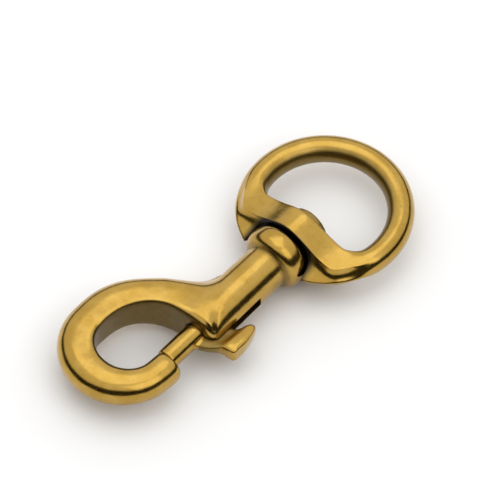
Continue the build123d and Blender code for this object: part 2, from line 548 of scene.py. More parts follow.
@dataclass(frozen=True)
class BrassFinish:
    """Cast brass with faint ripple, hairlines, stain spots and rougher hollows, with painted shade
    in the hollows.

    Every scale is how fine its pattern is, in cycles a metre.
    """

    name: str
    wear: Wear = Wear.POLISHED
    metal: Colour = (0.430, 0.255, 0.038)
    pale: Colour = (0.500, 0.312, 0.062)
    # The brown of real stain spots, and also of painted shade in shallow hollows.
    stain_and_shade: Colour = (0.170, 0.112, 0.024)
    # Near-black painted shade for the deepest hollows, the bore and the slot.
    shade_black: Colour = (0.018, 0.014, 0.008)
    roughness: float = 0.19
    hammered_roughness: float = 0.34
    lacquer: float = 0.30
    lacquer_roughness: float = 0.12
    cloud_scale: float = 240
    spot_scale: float = 1100
    haze_scale: float = 420
    hairline_scale: float = 900
    ripple_scale: float = 260
    pit_scale: float = 1700
    grain_scale: float = 9000
    dent_scale: float = 1500
    cast_relief: float = 0.35 * MM
    dent_relief: float = 0.25 * MM
    seed: float = 0.0

    def material(self) -> bpy.types.Material:
        """Build the node material.

        Returns:
            The finished material.
        """
        board = NodeBoard(self.name, self.seed)
        board.shader.inputs["Metallic"].default_value = 1.0
        board.shader.inputs["Coat Weight"].default_value = self.lacquer
        board.shader.inputs["Coat Roughness"].default_value = self.lacquer_roughness
        # This mask darkens the colour as painted shade and also roughens the surface.
        dull_and_shade = board.dullness_and_shade()
        self.colour(board, dull_and_shade)
        hairline = board.noise(self.hairline_scale, 3, 0.6, board.stretched((1.0, 9.0, 9.0)))
        self.gloss(board, dull_and_shade, hairline)
        self.relief(board, hairline)
        return board.material

    def colour(self, board: NodeBoard, dull_and_shade: bpy.types.NodeSocket) -> None:
        """Colour the brass: clouds and stain spots, then painted shade in brown and black where the
        dullness-and-shade mask is high.

        Args:
            board: the material's node tree.
            dull_and_shade: the piece's dullness and painted shade mask.
        """
        clouds = board.spread(board.noise(self.cloud_scale, 3), 0.35, 0.65, 0, 1)
        tone = board.blend(clouds, self.metal, self.pale)
        spotted = 0.9 if self.wear is Wear.PEENED else 0.35
        spots = board.spread(board.noise(self.spot_scale, 5, 0.65), 0.60, 0.74, 0, spotted)
        tone = board.blend(spots, tone, self.stain_and_shade)
        # Painted shade: brown where the mask is low, near-black where it is high.
        tone = board.blend(board.spread(dull_and_shade, 0.0, 0.6, 0.0, 1.0), tone, self.stain_and_shade)
        tone = board.blend(board.spread(dull_and_shade, 0.6, 0.95, 0.0, 1.0), tone, self.shade_black)
        board.links.new(tone, board.shader.inputs["Base Color"])

    def gloss(self, board: NodeBoard, dull_and_shade: bpy.types.NodeSocket,
              hairline: bpy.types.NodeSocket) -> None:
        """Roughen the polish with haze and hairlines, and most where it is dull.

        Args:
            board: the material's node tree.
            dull_and_shade: the piece's dullness and painted shade mask, which here only roughens the
                polish.
            hairline: the pattern of fine scratches.
        """
        haze = board.noise(self.haze_scale, 4)
        rough = board.sum((haze, 0.12), (hairline, 0.06), (dull_and_shade, 0.30))
        middle = self.hammered_roughness if self.wear is Wear.PEENED else self.roughness
        low = middle - 0.09
        board.links.new(board.spread(rough, 0.0, 1.0, low, low + 1.0),
                        board.shader.inputs["Roughness"])

    def relief(self, board: NodeBoard, hairline: bpy.types.NodeSocket) -> None:
        """Raise the casting's ripple, with dents where it is hammered and else fine marks.

        Args:
            board: the material's node tree.
            hairline: the pattern of fine scratches.
        """
        ripple = board.noise(self.ripple_scale, 2, 0.5)
        if self.wear is Wear.PEENED:
            dents = board.noise(self.dent_scale, 4, 0.7)
            board.bump(board.sum((ripple, 1.0), (dents, 0.9)), self.dent_relief, 0.8)
            return
        pits = board.spread(board.noise(self.pit_scale, 2, 0.5), 0.28, 0.36, -1.0, 0.0)
        grain = board.noise(self.grain_scale, 2, 0.6)
        height = board.sum((ripple, 1.0), (pits, 0.02), (grain, 0.006), (hairline, 0.015))
        board.bump(height, self.cast_relief, 0.22)


@dataclass(frozen=True)
class WireFinish:
    """Drawn spring wire, greyish and slightly oily."""

    name: str = "spring_wire"
    dark: Colour = (0.30, 0.28, 0.25)
    bright: Colour = (0.55, 0.54, 0.52)
    drawn_scale: float = 1500
    fine_scale: float = 6000
    fine_relief: float = 0.02 * MM

    def material(self) -> bpy.types.Material:
        """Build the node material.

        Returns:
            The finished material.
        """
        board = NodeBoard(self.name, 0.0)
        board.shader.inputs["Metallic"].default_value = 1.0
        drawn = board.noise(self.drawn_scale, 3)
        board.links.new(board.blend(board.spread(drawn, 0.3, 0.7, 0, 1), self.dark, self.bright),
                        board.shader.inputs["Base Color"])
        board.links.new(board.spread(drawn, 0.0, 1.0, 0.25, 0.45),
                        board.shader.inputs["Roughness"])
        board.bump(board.noise(self.fine_scale, 2), self.fine_relief, 0.4)
        return board.material


def dress(piece: bpy.types.Object, material: bpy.types.Material,
          dullness_and_shade: Optional[DullnessAndShade] = None) -> None:
    """Give a piece its one material, and write each point's dullness and painted shade.

    Args:
        piece: the piece to dress.
        material: its material.
        dullness_and_shade: gives 0 for polished to 1 for black painted shade, from a point's place
            and
        the way it faces.
    """
    piece.data.materials.clear()
    piece.data.materials.append(material)
    if dullness_and_shade is None:
        return
    # The attribute carries painted shade as well as dullness.
    layer = piece.data.attributes.new("dull_and_shade", "FLOAT", "POINT")
    values = [min(1.0, max(0.0, dullness_and_shade(vert.co, vert.normal)))
              for vert in piece.data.vertices]
    layer.data.foreach_set("value", values)


def facing(place: Vector, normal: Vector, centre: Point) -> float:
    """Tell how squarely an upright wall faces a centre on the plan.

    Args:
        place: a point on the wall.
        normal: the way the wall faces there.
        centre: the centre, as X and Y.

    Returns:
        0 where it faces away or aside, to 1 where it faces the centre.
    """
    toward = Vector((centre[0] - place.x, centre[1] - place.y, 0))
    if toward.length < 1e-6:
        return 0.0
    return ramp(normal.dot(toward.normalized()), 0.25, 0.85)


# ---- Hook casting ----------------------------------------------------------------------------


@dataclass(frozen=True)
class Span:
    """One upright section of the hook casting, from an inner to an outer plan point.

    A square of 2 makes its part round, and a higher one makes it squarer. The wall is 1 for a
    full inner side, and nearer 0 it dies away into the barrel.
    """

    inner: Point
    outer: Point
    half_height: float
    inner_square: float = FLAT_SQUARE
    outer_square: float = 2.15
    wall: float = 1.0


@dataclass
class HookCasting:
    """The hook, its shoulder, the barrel and the collar bead, cast in one piece."""

    sides: int = 48
    gate: float = 9.5 * MM
    nose_gap: float = 0.1 * MM
    bow_outer: float = 14.2 * MM
    bow_width: float = 8.3 * MM
    bow_height: float = 8.0 * MM
    bow_steps: int = 18
    tip_width: float = 6.9 * MM
    tip_height: float = 7.2 * MM
    tip_square: float = 2.6
    throat: float = 11.0 * MM
    shoulder_lead: float = 2.8 * MM
    shoulder: float = 16.3 * MM
    barrel_mouth: float = 5.45 * MM
    barrel_rear: float = 5.15 * MM
    outer_share: float = 0.55
    outer_most: float = 4.7 * MM
    collar_length: float = 5.8 * MM
    bore: float = 5.2 * MM
    rivet_hole: float = 3.76 * MM
    slot_width: float = 2.5 * MM
    slot_length: float = 15.5 * MM
    bore_length: float = 22.2 * MM
    blend: float = 1.6 * MM
    flat_fade: float = 2.5 * MM
    flat_start: float = 5.5 * MM
    flat_end: float = 17.0 * MM
    shoulder_smoothing: int = 40
    lip_smoothing: int = 110
    finish: BrassFinish = field(default_factory=lambda: BrassFinish("cast_brass"))

    def __post_init__(self) -> None:
        """Read the casting's places from the frame."""
        low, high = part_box("hook_body")
        self.bow_x = low[0] + self.bow_outer
        self.top = high[1]
        self.collar_rear = high[0]
        self.collar_r = high[2]
        self.collar_front = self.collar_rear - self.collar_length
        self.tip_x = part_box("slide_bolt")[0][0] - self.nose_gap
        self.mouth = self.tip_x + self.gate
        self.bow_y = self.top - self.bow_outer

    def barrel_radius(self, x: float) -> float:
        """Give the barrel's radius at a place along the axis."""
        share = (x - self.mouth) / (self.collar_front - self.mouth)
        return self.barrel_mouth + (self.barrel_rear - self.barrel_mouth) * min(1, max(0, share))

    def barrel_height(self, x: float, y: float) -> float:
        """Give the barrel's half height over a plan point."""
        radius = self.barrel_radius(x)
        return math.sqrt(max(0.0, radius * radius - y * y))

    def section(self, span: Span) -> list[Vector]:
        """Draw one section of the casting.

        Args:
            span: the section's plan points and proportions.

        Returns:
            Its points in order round it, from the outer side over the top.
        """
        reach = math.dist(span.inner, span.outer)
        outer_part = min(self.outer_share * reach, self.outer_most)
        in_barrel = span.inner[0] >= self.mouth - 0.6 * MM
        points = []
        for step in range(self.sides):
            turn = FULL_TURN * step / self.sides
            across, up = math.cos(turn), math.sin(turn)
            is_outer = across > NEAR_ZERO
            if is_outer:
                square = 2 / span.outer_square
                share = 1 - outer_part * (1 - lean(across, square)) / reach
                rise = lean(up, square)
            else:
                depth, rise = self.inner_point(step, span.inner_square)
                share = (1 - outer_part / reach) * (1 - depth)
            x = span.inner[0] + (span.outer[0] - span.inner[0]) * share
            y = span.inner[1] + (span.outer[1] - span.inner[1]) * share
            tall = span.half_height
            if in_barrel:
                tall *= ramp(y, -self.flat_fade, self.flat_fade)
                tall *= 1 - ramp(x - self.mouth, self.flat_start, self.flat_end)
            barrel = self.barrel_height(x, y) if in_barrel else 0.0
            if is_outer:
                z = flow_max(tall * rise, barrel, self.blend)
            else:
                z = flow_max(tall, barrel, self.blend) * rise ** span.wall
            points.append(Vector((x, y, math.copysign(z, up) if abs(up) > NEAR_ZERO else 0.0)))
        return points

    def inner_point(self, step: int, square: float) -> Point:
        """Give a point of a section's inner part.

        Args:
            step: the point's number round the section.
            square: how square the part is. At FLAT_SQUARE it is a flat with an upright wall.

        Returns:
            How far it is towards the inner edge and its share of the height, 0 to 1.
        """
        quarter = self.sides // 4
        if square < FLAT_SQUARE:
            turn = FULL_TURN * step / self.sides
            return (lean(math.cos(turn), 2 / square), lean(math.sin(turn), 2 / square))
        place = step - quarter if step <= 2 * quarter else 3 * quarter - step
        profile = ((0.0, 1.0), (0.14, 1.0), (0.28, 1.0), (0.42, 1.0), (0.56, 1.0),
                   (0.69, 1.0), (0.80, 1.0), (0.88, 0.985), (0.94, 0.945), (0.98, 0.86),
                   (1.0, 0.66), (1.0, 0.33), (1.0, 0.0))
        return profile[place]

    def tip_spans(self) -> list[Span]:
        """Give the sections of the rounded hook tip.

        Returns:
            Its sections, from the tip's face back to the bow's foot.
        """
        low = self.bow_y - self.bow_outer
        high = low + self.tip_width
        spans = []
        for back, pull_top, pull_low, tall in (
                (0.0, 0.95, 1.35, 0.66), (0.12, 0.5, 0.8, 0.80), (0.5, 0.15, 0.3, 0.92),
                (1.3, 0.0, 0.05, 0.985), (2.4, 0.0, 0.0, 1.0)):
            x = self.tip_x - back * MM
            spans.append(Span((x, high - pull_top * MM), (x, low + pull_low * MM),
                              self.tip_height / 2 * tall, self.tip_square, 2.2))
        return spans

    def bow_spans(self) -> list[Span]:
        """Give the sections round the bow.

        Returns:
            Its sections, from its foot to its top.
        """
        spans = []
        for step in range(self.bow_steps + 1):
            share = step / self.bow_steps
            turn = math.radians(270 - 180 * share)
            grow = ramp(share, 0.0, 0.5)
            width = self.tip_width + (self.bow_width - self.tip_width) * grow
            height = self.tip_height + (self.bow_height - self.tip_height) * grow
            square = self.tip_square + (FLAT_SQUARE - self.tip_square) * ramp(share, 0.35, 1.0)
            ray = Vector((math.cos(turn), math.sin(turn)))
            centre = Vector((self.bow_x, self.bow_y))
            outer = centre + ray * self.bow_outer
            inner = centre + ray * (self.bow_outer - width)
            spans.append(Span(tuple(inner), tuple(outer), height / 2, square))
        return spans

    def arc_point(self, centre: Vector, radius: float, turn: float) -> Point:
        """Give the point of an arc on the plan at an angle in degrees from +X."""
        angle = math.radians(turn)
        return tuple(centre + radius * Vector((math.cos(angle), math.sin(angle))))

    def shoulder_spans(self) -> list[Span]:
        """Give the sections from the bow's top over the shoulder into the barrel.

        Returns:
            The shoulder's arcs, then the fan round the barrel's mouth, then the barrel.
        """
        outer_centre = Vector((self.bow_x + self.shoulder_lead, self.top - self.shoulder))
        inner_centre = Vector((self.mouth - self.throat,
                               self.top - self.bow_width - self.throat))
        spans = []
        for inner_turn, outer_turn, tall in (
                (83, 84, 4.02), (70, 73, 4.1), (57, 61, 4.25), (43, 49, 4.45), (29, 37, 4.7)):
            spans.append(Span(self.arc_point(inner_centre, self.throat, inner_turn),
                              self.arc_point(outer_centre, self.shoulder, outer_turn),
                              tall * MM))
        for inner, outer, tall, square, wall in (
                ((-0.35, 6.9), (4.5, 15.0), 4.9, 7.0, 1.0),
                ((0.0, 4.4), (6.0, 13.1), 5.0, 7.0, 1.0),
                ((0.0, 2.2), (7.4, 11.1), 5.05, 7.0, 1.0),
                ((0.0, 0.0), (8.8, 9.2), 5.05, 7.0, 1.0),
                ((0.0, -2.0), (10.4, 7.7), 5.05, 7.0, 1.0),
                ((0.0, -3.7), (12.2, 6.6), 5.05, 7.0, 1.0),
                ((0.1, -4.7), (13.8, 6.05), 5.05, 7.0, 1.0),
                ((0.5, -5.25), (14.6, 5.8), 5.05, 4.0, 0.6),
                ((1.3, -5.43), (15.2, 5.6), 5.05, 2.2, 0.1)):
            spans.append(Span((self.mouth + inner[0] * MM, inner[1] * MM),
                              (self.mouth + outer[0] * MM, outer[1] * MM),
                              tall * MM, square, wall=wall))
        for inner_x, outer_x in ((3.0, 15.9), (6.5, 16.8), (10.5, 17.9), (14.5, 19.2),
                                 (18.2, 20.6)):
            near, far = self.mouth + inner_x * MM, self.mouth + outer_x * MM
            spans.append(Span((near, -self.barrel_radius(near)), (far, self.barrel_radius(far)),
                              half_height=0.0, inner_square=2.0, outer_square=2.0, wall=0.0))
        return spans

    def collar_rings(self) -> list[tuple[float, float]]:
        """Give the turned profile of the barrel's end and the collar bead.

        Returns:
            Its places along the axis, each with its radius.
        """
        front, rear, big = self.collar_front, self.collar_rear, self.collar_r
        length = rear - front
        rings = [(front - 0.5 * MM, self.barrel_rear), (front - 0.12 * MM, self.barrel_rear),
                 (front, self.barrel_rear), (front + 0.02 * MM, self.barrel_rear + 0.35 * MM)]
        for share, rise in ((0.02, 0.72), (0.08, 0.84), (0.2, 0.94), (0.36, 0.99), (0.5, 1.0),
                            (0.66, 1.0), (0.80, 0.985), (0.91, 0.945), (0.98, 0.885)):
            rings.append((front + share * length, big * rise))
        rings.append((rear, big * 0.83))
        rings.append((rear, big * 0.74))
        return rings

    def on_shoulder(self, place: Vector) -> bool:
        """Tell whether a point lies on the flats beside the shoulder and the barrel."""
        behind = place.x - self.mouth
        return (0.8 * MM < behind < 15.5 * MM and abs(place.z) > 3.0 * MM
                and -2.5 * MM < place.y < 12 * MM)

    def on_lip(self, place: Vector) -> bool:
        """Tell whether a point lies at the barrel's mouth."""
        return abs(place.x - self.mouth) < 1.5 * MM and place.y < 6 * MM

    def dullness_and_shade(self, place: Vector, normal: Vector) -> float:
        """Give the hook's dullness and painted shade: black in its bore, slot and rear face, and
        painted shade on the throat walls and beside the bead.

        Args:
            place: a point of the casting.
            normal: the way it faces there.

        Returns:
            0 for polished to 1 for black painted shade.
        """
        away = math.hypot(place.y, place.z)
        on_rear = place.x > self.collar_rear - 0.4 * MM
        in_bore = place.x > self.mouth - 0.1 * MM and away < 2.75 * MM
        in_slot = (place.x > self.mouth and place.y < 0 and away < self.barrel_rear - 0.08 * MM
                   and abs(place.z) < self.slot_width / 2 + 0.05 * MM)
        # Painted shade: black where the bore, the slot and the rear face lie in shadow.
        if on_rear or in_bore or in_slot:
            return 1.0
        # Painted shade on the throat walls that face the bight, and in the groove where the barrel
        # meets the bead.
        bight = facing(place, normal, (self.bow_x + 4 * MM, self.bow_y - 2 * MM))
        if place.x > self.mouth + 2 * MM:
            bight = 0.0
        groove = ramp(place.x, self.collar_front - 1.2 * MM, self.collar_front)
        groove *= 1 - ramp(place.x, self.collar_front + 0.2 * MM, self.collar_front + 1.0 * MM)
        return max(0.55 * bight, 0.35 * groove)

    def build(self) -> bpy.types.Object:
        """Model the casting, bore it and cut the lever's slot.

        Returns:
            The finished casting.
        """
        loft = SkinLoft("hook_casting", self.sides)
        for span in self.tip_spans() + self.bow_spans()[1:] + self.shoulder_spans():
            loft.add(self.section(span))
        for x, radius in self.collar_rings():
            loft.add(round_section(x, radius, self.sides))
        loft.cap_ends()
        piece = loft.finish(levels=2)
        relax(piece, self.on_shoulder, self.shoulder_smoothing)
        relax(piece, self.on_lip, self.lip_smoothing)
        cut(piece, rod(self.mouth - 0.9 * self.gate, self.mouth + self.bore_length, self.bore))
        cut(piece, rod(self.mouth, self.collar_rear + 2 * MM, self.rivet_hole, HOLE_SIDES))
        reach = 2 * self.barrel_mouth
        cut(piece, block((self.mouth - 3 * MM, -reach, -self.slot_width / 2),
                         (self.mouth + self.slot_length, 0, self.slot_width / 2)))
        shade(piece)
        dress(piece, self.finish.material(), self.dullness_and_shade)
        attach(piece, "hook")
        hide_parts("hook_body")
        LOG.info("hook casting: %d faces", len(piece.data.polygons))
        return piece


# ---- Swivel eye ------------------------------------------------------------------------------


@dataclass
class SwivelEye:
    """The round eye with its bridge, draped hub and the cup for the collar.

    The crown is the hub's half height, the shelf the wings' and the swell how wide the drape
    spreads. The crease and the brow are the numbers of points in a section, from its outer side.
    The front starts and is full where the cosine of the angle from -X has those values.
    """

    sides: int = 40
    stations: int = 108
    wire: float = 5.9 * MM
    bridge_face: float = 6.3 * MM
    bridge_depth: float = 6.1 * MM
    crown: float = 7.1 * MM
    shelf: float = 2.7 * MM
    swell: float = 7.0 * MM
    inner_round: float = 1.2 * MM
    crease_inset: float = 1.75 * MM
    corner_power: float = 30.0
    corner_fill: float = 1.15 * MM
    cup_gap: float = 0.55 * MM
    cup_sides: int = 160
    rivet_hole: float = 3.6 * MM
    crease_step: int = 7
    brow_step: int = 12
    crease_sharpness: float = 0.75
    wing_start: float = 0.32
    front_start: float = 0.18
    front_full: float = 0.60
    finish: BrassFinish = field(default_factory=lambda: BrassFinish("eye_brass", seed=0.31))

    def __post_init__(self) -> None:
        """Read the eye's places from the frame."""
        self.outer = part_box("swivel_eye")[1][0]
        self.ring_inner = self.outer - self.wire
        self.collar_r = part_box("hook_body")[1][2]
        self.cup_floor = -self.bridge_face - self.bridge_depth

    def inner_reach(self, turn: float) -> float:
        """Give the distance from the eye's centre to its inner side.

        Args:
            turn: the angle round the eye, from +X.

        Returns:
            The ring's inner radius, or the way to the bridge's face where that is shorter.
        """
        toward = -math.cos(turn)
        if toward <= 0.05:
            return self.ring_inner
        flat, power = self.bridge_face / toward, self.corner_power
        round_in = self.ring_inner - self.corner_fill * ramp(toward, 0.15, 0.5)
        return (round_in ** -power + flat ** -power) ** (-1 / power)

    def drape(self, y: float) -> float:
        """Give the height of the draped top across the bridge."""
        return self.shelf + (self.crown - self.shelf) * math.exp(-(y / self.swell) ** 2)

    def front_profile(self, turn: float, step: int) -> tuple[float, float]:
        """Give a point of the front part's upper outline, where the bridge and the wings are.

        Args:
            turn: the angle round the eye, from +X.
            step: the point, from the outer side at 0 over the top to the inner side.

        Returns:
            Its distance from the eye's centre and its height.
        """
        half = self.sides // 2
        inner = self.inner_reach(turn)
        toward = max(0.2, -math.cos(turn))
        crease = min(self.outer - self.crease_inset, -self.cup_floor / toward)
        brow = min(inner + self.inner_round, 0.5 * (inner + crease))
        tall = self.drape(crease * math.sin(turn))
        if step <= self.crease_step:
            share = 1 - step / self.crease_step
            radius = crease + (self.outer - crease) * share
            return radius, tall * (0.6 * (1 - share) ** 3 + 0.4 * (1 - share) ** 0.6)
        if step <= self.brow_step:
            share = (step - self.crease_step) / (self.brow_step - self.crease_step)
            radius = crease + (brow - crease) * share
            return radius, self.drape(radius * math.sin(turn))
        swing = math.pi / 2 * (half - step) / (half - self.brow_step)
        radius = brow - (brow - inner) * math.cos(swing) ** 0.5
        return radius, self.drape(radius * math.sin(turn)) * math.sin(swing) ** 0.4

    def section(self, turn: float) -> list[Vector]:
        """Draw the eye's section at an angle round its centre.

        Args:
            turn: the angle from +X.

        Returns:
            The section's points in order, from the outer side over the top.
        """
        front = ramp(-math.cos(turn), self.front_start, self.front_full)
        half = self.sides // 2
        middle, wire_r = self.outer - self.wire / 2, self.wire / 2
        points = []
        for step in range(self.sides):
            upper = step <= half
            rise = step if upper else self.sides - step
            swing = math.pi * rise / half
            round_at = (middle + wire_r * math.cos(swing), wire_r * math.sin(swing))
            front_at = self.front_profile(turn, rise) if front > 0 else round_at
            radius = round_at[0] + (front_at[0] - round_at[0]) * front
            z = round_at[1] + (front_at[1] - round_at[1]) * front
            points.append(Vector((radius * math.cos(turn), radius * math.sin(turn),
                                  z if upper else -z)))
        return points

    def cup(self) -> bpy.types.Object:
        """Turn the flared cup that takes the collar bead, as a tool to cut with.

        Returns:
            The solid that is taken out of the eye.
        """
        rim = self.collar_r + self.cup_gap
        loft = SkinLoft("cup_cutter", self.cup_sides)
        for ahead, radius in ((0.0, rim - 1.9 * MM), (0.0, rim - 1.4 * MM),
                              (0.15 * MM, rim - 0.95 * MM), (0.6 * MM, rim - 0.6 * MM),
                              (1.3 * MM, rim - 0.3 * MM), (2.2 * MM, rim - 0.1 * MM),
                              (3.4 * MM, rim), (4.6 * MM, rim + 0.1 * MM),
                              (6.0 * MM, rim + 0.4 * MM), (9.0 * MM, rim + 1.5 * MM)):
            loft.add(round_section(self.cup_floor - ahead, radius, self.cup_sides))
        loft.cap_ends()
        return loft.finish(levels=0)

    def dullness_and_shade(self, place: Vector, normal: Vector) -> float:
        """Give the eye's dullness and painted shade: black in its cup and rivet hole, and painted
        shade on its opening's wall.

        Args:
            place: a point of the eye.
            normal: the way it faces there.

        Returns:
            0 for polished to 1 for black painted shade.
        """
        away = math.hypot(place.y, place.z)
        # Painted shade: black inside the rivet hole, and in the cup round the collar bead.
        in_rivet_hole = away < 2.2 * MM and place.x < 0
        if in_rivet_hole:
            return 1.0
        in_front = ramp(self.cup_floor + 0.3 * MM - place.x, 0, 0.3 * MM)
        cup = in_front * (1 - ramp(away, 7.4 * MM, 9.6 * MM))
        # Painted shade on the ring's inner wall, where it faces the eye's centre.
        return max(0.97 * cup, 0.5 * facing(place, normal, (0.0, 0.0)))

    def build(self) -> bpy.types.Object:
        """Model the eye, cut its cup and drill it for the rivet.

        Returns:
            The finished eye.
        """
        loft = SkinLoft("swivel_eye_casting", self.sides)
        for station in range(self.stations):
            loft.add(self.section(FULL_TURN * station / self.stations))
        loft.close()
        wings = range(round(self.wing_start * self.stations),
                      round((1 - self.wing_start) * self.stations) + 1)
        for column in (self.crease_step, self.sides - self.crease_step):
            loft.crease(column, wings, self.crease_sharpness)
        piece = loft.finish(levels=2)
        cut(piece, self.cup())
        cut(piece, rod(self.cup_floor - MM, 0, self.rivet_hole, HOLE_SIDES))
        shade(piece)
        dress(piece, self.finish.material(), self.dullness_and_shade)
        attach(piece, "eye")
        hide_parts("swivel_eye")
        LOG.info("swivel eye: %d faces", len(piece.data.polygons))
        return piece


# ---- Bolt, spring and rivet ------------------------------------------------------------------


@dataclass
class SlideBolt:
    """The round bolt with its lever neck and axe-shaped thumb pad."""

    sides: int = 40
    diameter: float = 5.04 * MM
    nose_break: float = 0.35 * MM
    tail_d: float = 2.8 * MM
    shoulder_from_nose: float = 16.0 * MM
    web_from_nose: float = 15.6 * MM
    lever_round: tuple[float, float] = (0.35, 0.45)
    voxel: float = 0.13 * MM
    fettling: int = 6
    finish: BrassFinish = field(default_factory=lambda: BrassFinish("bolt_brass", seed=0.7))

    def __post_init__(self) -> None:
        """Read the bolt's places from the frame."""
        low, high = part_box("slide_bolt")
        self.nose, self.tail = low[0], high[0]
        self.web_rear = self.nose + self.web_from_nose

    def rod_rings(self) -> list[tuple[float, float]]:
        """Give the turned profile of the bolt.

        Returns:
            Its places along the axis, each with its radius.
        """
        r, nose, edge = self.diameter / 2, self.nose, self.nose_break
        shoulder, tail_r = self.nose + self.shoulder_from_nose, self.tail_d / 2
        return [(nose, r - 2.2 * edge), (nose, r - edge), (nose + 0.3 * edge, r - 0.3 * edge),
                (nose + edge, r), (nose + 2.5 * edge, r), (nose + 8 * MM, r),
                (shoulder - 0.5 * MM, r), (shoulder - 0.1 * MM, r), (shoulder, r - 0.1 * MM),
                (shoulder, tail_r + 0.1 * MM), (shoulder, tail_r),
                (shoulder + 0.2 * MM, tail_r), (self.tail - 0.3 * MM, tail_r),
                (self.tail, tail_r - 0.3 * MM)]

    def lever_section(self, y: float, front: float, rear: float, half: float,
                      rear_half: float) -> list[Vector]:
        """Draw a section of the lever across its own run, from sizes in millimetres.

        Args:
            y: where the section stands.
            front: its place nearest the nose, from the web's rear.
            rear: its place nearest the tail, from the web's rear.
            half: its half thickness in front.
            rear_half: its half thickness at the rear.

        Returns:
            The section's points, in order round it.
        """
        middle, reach = (front + rear) / 2, (rear - front) / 2
        points = []
        for step in range(self.sides):
            turn = FULL_TURN * step / self.sides
            across, up = math.cos(turn), math.sin(turn)
            along = math.copysign(lean(across, self.lever_round[0]), across)
            thick = half + (rear_half - half) * ramp(along, -0.6, 1.0)
            rise = math.copysign(lean(up, self.lever_round[1]), up)
            z = thick * rise if abs(up) > NEAR_ZERO else 0.0
            points.append(Vector((self.web_rear + (middle + reach * along) * MM, y * MM,
                                  z * MM)))
        return points

    def lever(self) -> bpy.types.Object:
        """Loft the neck and the thumb pad outwards from the bolt's middle.

        Returns:
            The lever, still apart from the bolt.
        """
        loft = SkinLoft("lever", self.sides)
        for y, front, rear, half, rear_half in (
                (-0.6, -9.9, -0.1, 1.0, 1.0), (-1.9, -9.5, -0.1, 1.0, 1.0),
                (-2.6, -9.0, -0.1, 1.0, 1.0), (-3.6, -8.5, -0.1, 1.0, 1.0),
                (-4.8, -8.0, -0.2, 1.00, 1.0), (-5.8, -7.2, -0.2, 1.05, 1.00),
                (-6.7, -6.4, 0.4, 1.25, 1.00), (-7.2, -6.05, 2.2, 1.60, 1.10),
                (-7.6, -5.95, 3.1, 1.85, 1.20), (-8.2, -5.9, 3.4, 2.05, 1.30),
                (-8.9, -5.9, 3.4, 2.08, 1.35), (-9.5, -5.8, 2.7, 2.08, 1.45),
                (-10.0, -5.7, 1.3, 2.0, 1.55), (-10.35, -5.5, -0.2, 1.85, 1.50),
                (-10.6, -5.1, -1.6, 1.50, 1.30)):
            loft.add(self.lever_section(y, front, rear, half, rear_half))
        loft.cap_ends()
        return loft.finish(levels=2)

    def dullness_and_shade(self, place: Vector, normal: Vector) -> float:
        """Give the bolt's dullness and painted shade: painted shade on the rod inside the barrel and
        on the lever's neck, none at the nose and the thumb pad.

        Args:
            place: a point of the bolt.
            normal: the way it faces there, which makes no difference here.

        Returns:
            0 for polished to 1 for black painted shade.
        """
        # Painted shade on the rod inside the barrel.
        inside = ramp(place.x, self.nose + 9.0 * MM, self.nose + 10.2 * MM)
        if math.hypot(place.y, place.z) < 3.2 * MM:
            return 0.5 * inside
        # Painted shade on the lever's neck, fading out towards the thumb pad.
        return 0.5 * (1 - ramp(-place.y, 6.0 * MM, 8.4 * MM))

    def build(self) -> bpy.types.Object:
        """Model the bolt and the lever, and blend them into one casting.

        Returns:
            The finished casting.
        """
        loft = SkinLoft("slide_bolt_casting", self.sides)
        for x, radius in self.rod_rings():
            loft.add(round_section(x, radius, self.sides))
        loft.cap_ends()
        piece = loft.finish(levels=1)
        weld(piece, self.lever())
        remesh = piece.modifiers.new("cast", "REMESH")
        remesh.mode = "VOXEL"
        remesh.voxel_size = self.voxel
        apply_all(piece)
        soften = piece.modifiers.new("fettle", "SMOOTH")
        soften.factor = 0.5
        soften.iterations = self.fettling
        apply_all(piece)
        shade(piece, angle=60)
        dress(piece, self.finish.material(), self.dullness_and_shade)
        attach(piece, "bolt")
        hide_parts("slide_bolt")
        LOG.info("slide bolt: %d faces", len(piece.data.polygons))
        return piece


@dataclass
class BoltSpring:
    """Compression spring with closed ends, behind the bolt.

    The closed share is how many turns lie close at each end, and the shut share is how much of
    its length is left when the bolt is drawn right back; the shut share is not used.
    """

    sides: int = 12
    wire: float = 0.5 * MM
    outside: float = 4.5 * MM
    turns: float = 9.0
    closed: float = 1.0
    coil_gap: float = 0.02 * MM
    steps_per_turn: int = 28
    shut_share: float = 4.8 / 13.8
    finish: WireFinish = field(default_factory=WireFinish)

    def build(self) -> bpy.types.Object:
        """Coil the spring.

        Returns:
            The finished spring.
        """
        low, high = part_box("bolt_spring")
        front, rear = low[0] + self.wire / 2, high[0] - self.wire / 2
        middle_r = (self.outside - self.wire) / 2
        closed_pitch = self.wire + self.coil_gap
        open_pitch = (rear - front - 2 * self.closed * closed_pitch) / (self.turns - 2 * self.closed)
        loft = SkinLoft("spring_coil", self.sides)
        steps = round(self.turns * self.steps_per_turn)
        x = front
        for step in range(steps + 1):
            wound = step / self.steps_per_turn
            turn = FULL_TURN * wound
            is_closed = wound < self.closed or wound >= self.turns - self.closed
            out = Vector((0, math.cos(turn), math.sin(turn)))
            points = []
            for side in range(self.sides):
                swing = FULL_TURN * side / self.sides
                ray = out * (middle_r + self.wire / 2 * math.cos(swing))
                points.append(ray + Vector((x + self.wire / 2 * math.sin(swing), 0, 0)))
            loft.add(points)
            x += (closed_pitch if is_closed else open_pitch) / self.steps_per_turn
        loft.cap_ends(rim=self.wire / 6)
        piece = loft.finish(levels=0)
        shade(piece, angle=60)
        dress(piece, self.finish.material())
        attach(piece, "hook")
        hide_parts("bolt_spring")
        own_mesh(piece)
        LOG.info("spring coil: %d faces", len(piece.data.polygons))
        return piece


